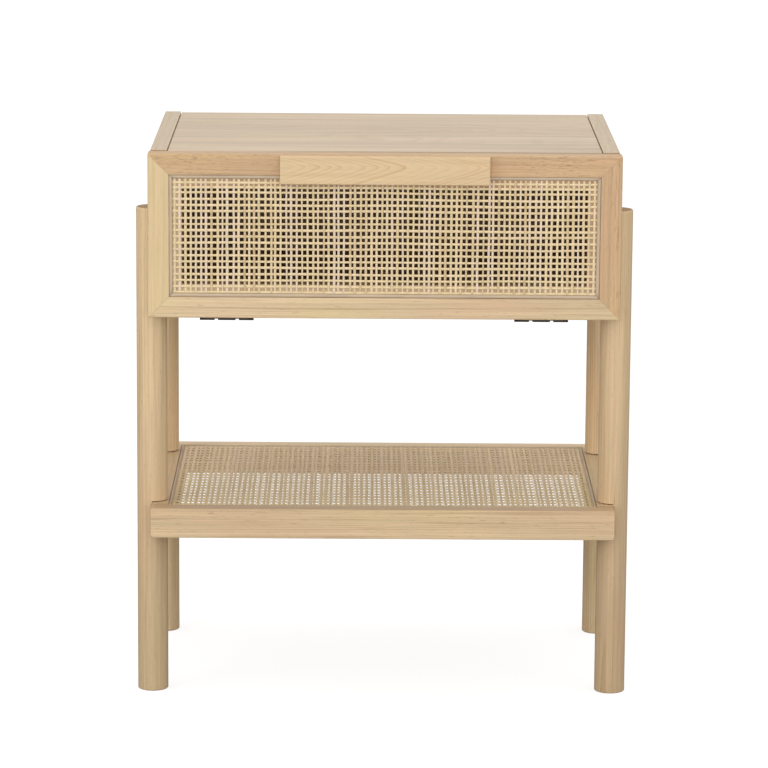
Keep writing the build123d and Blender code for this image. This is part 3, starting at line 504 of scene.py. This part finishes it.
def reed_frame(name, origin, ex, ey, en, cx, cy, width, top, depth, seed):
    """Four lengths of reed pressed into the groove round a cane panel, mitred at the corners."""
    rng = np.random.default_rng(seed)
    prof = REED.copy()
    prof[:, 1] = np.where(prof[:, 1] < -0.5, -depth / width, prof[:, 1])
    V, F, S = [], [], []
    base = 0
    h = width / 2
    for k, (along, across, la, lb, sgn) in enumerate(
        ((ex, ey, cx, cy, -1), (ex, ey, cx, cy, 1), (ey, ex, cy, cx, -1), (ey, ex, cy, cx, 1))
    ):
        n = int(2 * la / 0.006) + 2
        a = np.linspace(-la, la, n)
        b = sgn * lb + 0.00012 * smooth_noise(rng, n, 7)
        b[0] = b[-1] = sgn * lb
        z = top - 0.19 * width + 0.00010 * smooth_noise(rng, n, 5)
        p = origin + a[:, None] * along + b[:, None] * across + z[:, None] * en
        w = width * (1 + 0.035 * smooth_noise(rng, n, 6))
        v, f, s = ribbon(p, across, en, w, width, 40.0 + k + seed, prof)
        # cut both ends to a mitre: slide each end ring along the strip by its distance from the centre line
        vv = v.reshape(n, 8, 3)
        off = ((vv[0] - p[0]) @ across) * sgn
        vv[0] -= off[:, None] * along * 0.96 - along * 0.00008
        off = ((vv[-1] - p[-1]) @ across) * sgn
        vv[-1] += off[:, None] * along * 0.96 - along * 0.00008
        V.append(vv.reshape(-1, 3)); F.append(f + base); S.append(s)
        base += len(v)
    return mesh_object(name, np.concatenate(V), np.concatenate(F), np.concatenate(S))


X, Y, Z = np.array([1.0, 0, 0]), np.array([0, 1.0, 0]), np.array([0, 0, 1.0])


def centre(node):
    a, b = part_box(node)
    return np.array((a + b) / 2), np.array(b - a) / 2


# ------------------------------------------------------------ door cane and its reeds
c, h = centre("door_cane")
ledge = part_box("door_cane")[1].y           # back of the cane plate, on the ledge
# the rows close up a little under the top spline, where the webbing was pulled in
rows = np.concatenate([[0.4200, 0.42585], 0.43215 + 0.0063 * np.arange(15), [0.5258, 0.5304]]) - c[2]
door_cane = weave(
    "door_cane_webbing", np.array([c[0], ledge, c[2]]), X, Z, -Y, h[0], h[2],
    -0.20915 + 0.00529 * np.arange(80), rows, 0.00235, 0.00246, 11, 0.0024,
)
cs, hs = centre("door_splines")
rw = 0.0037
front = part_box("door_splines")[0].y
door_reed = reed_frame(
    "door_reed_splines", np.array([cs[0], front, cs[2]]), X, Z, -Y, hs[0] - 0.00145, hs[2] - 0.00145, rw, 0.0002, 0.0030, 5,
)

# ------------------------------------------------------------ shelf cane and its reeds
c, h = centre("shelf_cane")
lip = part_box("shelf_cane")[0].z
rows = 0.0063 * (np.arange(46) - 22.5) + 0.00060 * np.where(np.arange(46) % 2 == 0, 1.0, -1.0)  # rows lie slightly in pairs
shelf_cane = weave(
    "shelf_cane_webbing", np.array([c[0], c[1], lip]), X, Y, Z, h[0], h[1],
    0.00529 * (np.arange(81) - 40), rows, 0.00285, 0.00370, 23, 0.0016, steps=4, jitter=0.00018, lift=(0.00018, 0.00028), thick=0.00060, wander=0.0004, vary=0.08,
)
cs, hs = centre("shelf_splines")
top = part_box("shelf_splines")[1].z
shelf_reed = reed_frame(
    "shelf_reed_splines", np.array([cs[0], cs[1], top]), X, Y, Z, hs[0] - 0.00145, hs[1] - 0.00145, 0.0028, 0.0001, 0.0030, 9,
)

cane_door_mat = cane_material("door cane", 2.0, (0.84, 0.658, 0.400), (0.60, 0.435, 0.240), (0.76, 0.590, 0.450))
cane_shelf_mat = cane_material("shelf cane", 5.0, (0.80, 0.605, 0.355), (0.58, 0.400, 0.200), (0.71, 0.500, 0.335), tone_and_shade_ramp=(-0.06, 0.05, 0.90, 1.06))
reed_mat = reed_material("reed spline", (0.55, 0.430, 0.300), 3.0)
for ob, mat, node, body, slot in (
    (door_cane, cane_door_mat, "door_cane", "flap", "cane_webbing"),
    (door_reed, reed_mat, "door_splines", "flap", "reed_spline"),
    (shelf_cane, cane_shelf_mat, "shelf_cane", "cabinet", "cane_webbing"),
    (shelf_reed, reed_mat, "shelf_splines", "cabinet", "reed_spline"),
):
    ob.data.materials.append(mat)
    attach(ob, body)
    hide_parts(node)

# ============================================================ finishes of the CAD pieces
YEL_L, YEL_D = (0.700, 0.525, 0.290), (0.50, 0.330, 0.155)
PNK_L, PNK_D = (0.605, 0.395, 0.215), (0.40, 0.235, 0.110)
LEG_L, LEG_D = (0.690, 0.508, 0.298), (0.45, 0.290, 0.145)
GREY_L, GREY_D = (0.600, 0.470, 0.320), (0.47, 0.345, 0.215)


def dress(mat, *names):
    for n in names:
        ob = NODES[n]
        ob.data.materials.clear()
        ob.data.materials.append(mat)


dc0, dc1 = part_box("door_cane")
# painted shade: the box of the ledge and groove round the door's webbing, darkened in the rails' finishes
SHADED_LEDGE = ((dc0.x - 0.0005, dc1.x + 0.0005), (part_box("door_top_rail")[0].y + 0.0012, dc1.y + 0.0030), (dc0.z - 0.0005, dc1.z + 0.0005))
# box
dress(wood("pine side left", "Y", (-0.262, 0.66), GREY_L, GREY_D, 1, spacing=0.0030, contrast=0.65, wobble=0.010, waves=0.003, gloss=0.05), "left_side_panel")
dress(wood("pine side right", "Y", (0.262, 0.64), GREY_L, GREY_D, 2, spacing=0.0030, contrast=0.65, wobble=0.010, waves=0.003, gloss=0.05), "right_side_panel")
# painted shade: a dark band along the top panel's front edge stands in for the shadow gap between panel and door
dress(wood("pine top", "X", (0.02, 0.25), (0.625, 0.489, 0.338), (0.475, 0.342, 0.212), 3, spacing=0.0034, contrast=0.75, wobble=0.020, tilt=(0.05, 0.02), gloss=0.05, lines=1.0, broad=2.2, painted_shade_bands=(("u", -0.1366, -0.1322, -0.16, 0.02, 1.0),)), "top_panel")
dress(wood("pine bottom", "X", (0.05, 0.50), (0.50, 0.355, 0.200), (0.35, 0.225, 0.115), 4, spacing=0.003, contrast=0.5, wobble=0.008), "bottom_panel")
dress(wood("plywood back", "X", (0.26, 0.48), (0.30, 0.190, 0.105), (0.19, 0.115, 0.060), 5, spacing=0.0026, contrast=0.55, wobble=0.018, tilt=(0.07, 0.02), waves=0.002), "back_panel")
# legs
for k, (n, px, py) in enumerate((
    ("leg_front_left", -0.262, -0.060), ("leg_front_right", 0.215, -0.165),
    ("leg_rear_left", -0.205, 0.180), ("leg_rear_right", 0.262, 0.085),
)):
    # painted light: the rear legs' colour is raised 9% to lift them out of the shade behind the box; the right legs are
    # 3% darker
    leg_light_and_tone = 1.09 if "rear" in n else 0.97 if "right" in n else 1.0
    # painted shade: the front legs' colour darkens towards the bottom
    dress(wood("pine " + n.replace("_", " "), "Z", (px, py), [v * leg_light_and_tone for v in LEG_L], [v * leg_light_and_tone for v in LEG_D], 10 + k, spacing=0.0026, contrast=0.68, wobble=0.005, warm=0.5, tone_and_shade_ramp=None if "rear" in n else (0.03, 0.48, 0.85, 1.07)), n)
# shelf
# painted shade: a dark band along the top of the front rail, which lies in shade under the box
dress(wood("pine shelf front", "X", (-0.140, 0.02), (0.675, 0.500, 0.302), (0.44, 0.275, 0.140), 20, spacing=0.0022, contrast=0.80, wobble=0.0035, warm=0.6, lines=1.5, broad=1.3, painted_shade_bands=(("v", 0.1984, 0.1970, -0.5, -0.4, 0.30),)), "shelf_front_rail")
# painted light: the back rail is paler than the other pine so its shaded inner face, seen through the webbing, reads
# bright
dress(wood("pine shelf back", "X", (0.140, 0.04), (0.80, 0.610, 0.375), (0.56, 0.375, 0.195), 21, spacing=0.0024, contrast=0.6, wobble=0.004), "shelf_back_rail")
# painted shade: dark bands along the side rails' inner faces, which lie in shade and show through the webbing
dress(wood("pine shelf left", "Y", (-0.20, 0.12), LEG_L, LEG_D, 22, spacing=0.0026, contrast=0.55, painted_shade_bands=(("u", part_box("shelf_left_rail")[1].x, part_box("shelf_left_rail")[1].x - 0.0012, -0.6, -0.5, 1.4),)), "shelf_left_rail")
dress(wood("pine shelf right", "Y", (0.20, 0.12), LEG_L, LEG_D, 23, spacing=0.0026, contrast=0.55, painted_shade_bands=(("u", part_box("shelf_right_rail")[0].x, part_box("shelf_right_rail")[0].x + 0.0012, -0.6, -0.5, 1.4),)), "shelf_right_rail")
# door
dress(wood("pine top rail", "X", (-0.128, 0.60), PNK_L, PNK_D, 30, spacing=0.0030, contrast=0.60, broad=1.3, flecks=0.50, wobble=0.008, waves=0.004, warm=0.6, shaded_recess=SHADED_LEDGE), "door_top_rail")
dress(wood("pine bottom rail", "X", (-0.14, 0.33), (0.72, 0.540, 0.330), (0.50, 0.315, 0.160), 31, spacing=0.0030, contrast=0.80, wobble=0.005, warm=1.0, lines=1.3, broad=1.2, shaded_recess=SHADED_LEDGE, tone_and_shade_ramp=(-0.15, 0.20, 0.99, 0.93)), "door_bottom_rail")
dress(wood("pine left stile", "Z", (-0.30, -0.11), YEL_L, YEL_D, 32, spacing=0.0050, contrast=0.25, wobble=0.004, lines=0.5, shaded_recess=SHADED_LEDGE), "door_left_stile")
dress(wood("pine right stile", "Z", (0.16, -0.13), PNK_L, PNK_D, 33, spacing=0.0036, contrast=0.5, flecks=0.38, wobble=0.006, waves=0.003, warm=0.6, knots=((0.238, -0.161, 0.452, 0.0022),), shaded_recess=SHADED_LEDGE), "door_right_stile")
dress(wood("pine handle", "X", (-0.1715, 0.5487), (0.710, 0.525, 0.305), (0.55, 0.310, 0.125), 34, spacing=0.0030, contrast=0.75, taper=0.23, skew=0.20, wobble=0.0020, warm=0.3, lines=0.4, streak=0.7), "handle_bar")
# dowels
beech = wood("beech dowel", "X", (0.2, 0.2), (0.60, 0.40, 0.23), (0.46, 0.28, 0.15), 40, spacing=0.002, contrast=0.3, flecks=0.6)
dress(beech, "box_dowels", "door_mitre_dowels")
dress(wood("beech shelf dowel", "Y", (0.2, 0.2), (0.60, 0.40, 0.23), (0.46, 0.28, 0.15), 41, spacing=0.002, contrast=0.3, flecks=0.6), "shelf_dowels")
# metals
bronze = metal_material("dark bronze", (0.062, 0.048, 0.038), 0.42, 1.0, 0.85, wear=(0.10, 0.07, 0.045))
dress(bronze, "hinge_box_leaf_left", "hinge_box_leaf_right", "hinge_door_leaf_left", "hinge_door_leaf_right", "hinge_pin_left", "hinge_pin_right")
dress(metal_material("bronzed screw", (0.045, 0.038, 0.032), 0.38, 2.0, 0.9, wear=(0.16, 0.12, 0.08)), "hinge_box_screws", "hinge_door_screws")
zinc = metal_material("zinc plate", (0.55, 0.55, 0.53), 0.32, 3.0, 1.0, scratch=0.8)
dress(zinc, "leg_bolts", "shelf_bolts", "back_panel_brads", "catch_screws", "catch_strike_screw", "stay_plate_screws", "stay_bracket_screws", "handle_screws")
dress(metal_material("stay steel", (0.50, 0.50, 0.49), 0.36, 4.0, 1.0, scratch=1.0, axis="Z"), "stay_plate", "stay_arm", "stay_link", "stay_door_bracket")
dress(metal_material("rivet steel", (0.60, 0.59, 0.57), 0.28, 5.0), "stay_base_rivet", "stay_elbow_rivet", "stay_bracket_rivet")
dress(metal_material("catch steel", (0.45, 0.45, 0.45), 0.38, 6.0), "catch_pole_plates", "catch_strike")
dress(metal_material("insert brass", (0.60, 0.44, 0.20), 0.35, 7.0), "leg_inserts")
dress(plastic_material("catch plastic", (0.13, 0.075, 0.042), 0.45, 1.0), "catch_housing")
dress(plastic_material("ferrite", (0.035, 0.035, 0.036), 0.6, 2.0), "catch_magnet")

# ============================================================ floor, light, camera
bpy.ops.mesh.primitive_plane_add(size=60, location=(0, 8, 0))
floor = bpy.context.object
floor.name = "studio_floor"
# the floor is over-exposed to white in the picture, and lights the object like a pale grey sweep
m = bpy.data.materials.new("pale floor")
m.use_nodes = True
m.node_tree.nodes.clear()
t = Tree(m.node_tree)
co = t.node("ShaderNodeTexCoord").outputs["Object"]
speck = t.noise(co, 3.0, 4.0, 0.6)
dull = t.node("ShaderNodeBsdfDiffuse")
t.put(dull.inputs["Color"], t.ramp(speck, [(0.3, 0.28), (0.7, 0.31)]))
seen = t.node("ShaderNodeBsdfDiffuse")
t.put(seen.inputs["Color"], t.ramp(speck, [(0.3, 0.325), (0.7, 0.335)]))
glow = t.node("ShaderNodeEmission")
glow.inputs["Strength"].default_value = 0.79
both = t.node("ShaderNodeAddShader")
t.put(both.inputs[0], seen.outputs[0])
t.put(both.inputs[1], glow.outputs[0])
pick = t.node("ShaderNodeMixShader")
ray = t.node("ShaderNodeLightPath")
t.put(pick.inputs[0], ray.outputs["Is Camera Ray"])
t.put(pick.inputs[1], dull.outputs[0])
t.put(pick.inputs[2], both.outputs[0])
out = t.node("ShaderNodeOutputMaterial")
t.put(out.inputs[0], pick.outputs[0])
floor.data.materials.append(m)

world = bpy.data.worlds.new("studio")
SCENE.world = world
world.use_nodes = True
wt = Tree(world.node_tree)
bg = world.node_tree.nodes["Background"]
bg.inputs[0].default_value = (1.0, 1.0, 1.0, 1)
ray = wt.node("ShaderNodeLightPath")
wt.put(bg.inputs[1], wt.range(ray.outputs["Is Camera Ray"], 0.0, 1.0, 0.82, 1.0, "LINEAR"))


def area(name, loc, target, size, power, color=(1, 1, 1), size_y=None):
    d = bpy.data.lights.new(name, "AREA")
    d.energy = power
    d.color = color
    d.shape = "RECTANGLE" if size_y else "SQUARE"
    d.size = size
    if size_y:
        d.size_y = size_y
    o = bpy.data.objects.new(name, d)
    SCENE.collection.objects.link(o)
    o.location = loc
    o.rotation_euler = (Vector(target) - Vector(loc)).to_track_quat("-Z", "Y").to_euler()
    return o


area("front", (0, -3.0, 0.7), (0, 0, 0.35), 1.6, 27)
area("side_left", (-2.2, -1.6, 0.9), (0, 0, 0.35), 1.4, 14)
area("side_right", (2.2, -1.6, 0.9), (0, 0, 0.35), 1.4, 6)
area("overhead", (0, 0.15, 2.2), (0, 0.05, 0.4), 1.2, 4.5)

cam_data = bpy.data.cameras.new("camera")
cam = bpy.data.objects.new("camera", cam_data)
SCENE.collection.objects.link(cam)
SCENE.camera = cam
cam_data.sensor_width = 36.0
cam_data.lens = 3999.5 * 36.0 / 768.0
cam_data.clip_start = 0.1
cam_data.clip_end = 100.0
pitch, yaw, roll = (math.radians(a) for a in (-11.049, -0.253, -0.411))
R = Matrix.Rotation(yaw, 3, "Z") @ Matrix.Rotation(pitch, 3, "X") @ Matrix.Rotation(roll, 3, "Y")
right, fwd, upv = R.col[0], R.col[1], R.col[2]
mat = Matrix((
    (right[0], upv[0], -fwd[0], -0.0170),
    (right[1], upv[1], -fwd[1], -4.0976),
    (right[2], upv[2], -fwd[2], 1.0965),
    (0, 0, 0, 1),
))
cam.matrix_world = mat

SCENE.view_settings.view_transform = "Standard"
SCENE.view_settings.look = "None"
SCENE.view_settings.exposure = 0.0
SCENE.view_settings.gamma = 1.0
